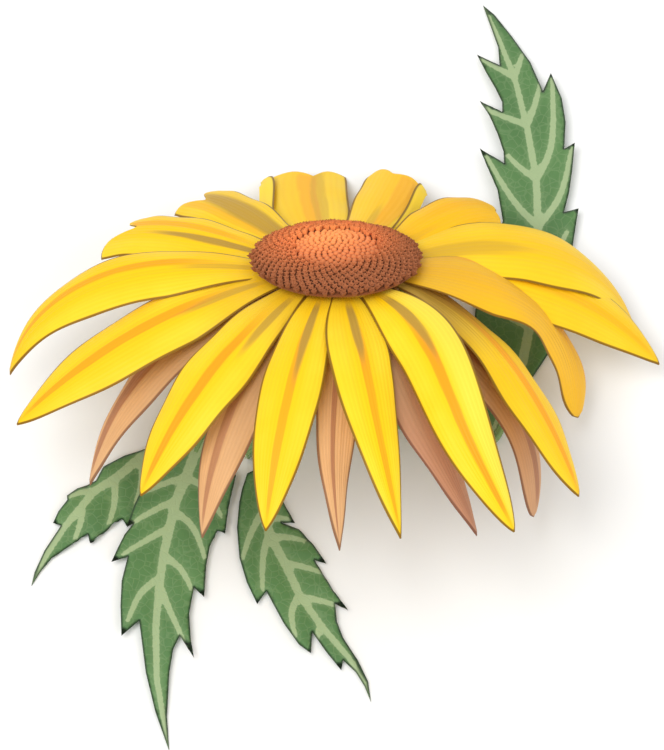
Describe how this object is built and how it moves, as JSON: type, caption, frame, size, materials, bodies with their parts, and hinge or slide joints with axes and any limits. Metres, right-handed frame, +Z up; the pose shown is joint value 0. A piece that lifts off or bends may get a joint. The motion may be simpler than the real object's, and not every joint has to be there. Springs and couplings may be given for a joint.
{
  "type": "sunflower",
  "caption": "Picked sunflower lying down: domed brown disc, drooping yellow ray petals over tan ones, bract cup, short cut stem and toothed leaves.",
  "frame": {"origin": "bottom centre of the bounding box, on the surface that the flower lies on", "axes": "+Y along the longest extent, from the lower leaves' tips to the upper leaf's tip; +Z up from the surface; -Y towards the viewer, as the petals in front droop"},
  "size_m": [0.1499, 0.189, 0.0627],
  "materials": {
    "florets": "dry brown florets, matte",
    "yellow_petal": "soft satin petal",
    "tan_petal": "soft matte petal",
    "bract": "matte green scales",
    "stem": "matte green stem with fine hairs",
    "leaf": "matte green leaf with pale veins"
  },
  "bodies": {
    "root": {"disc": "florets", "yellow_petals": "yellow_petal", "tan_petals": "tan_petal", "bract_cup": "bract", "stem": "stem", "upper_leaf": "leaf", "left_leaf": "leaf", "middle_leaf": "leaf", "right_leaf": "leaf"}
  },
  "joints": []
}
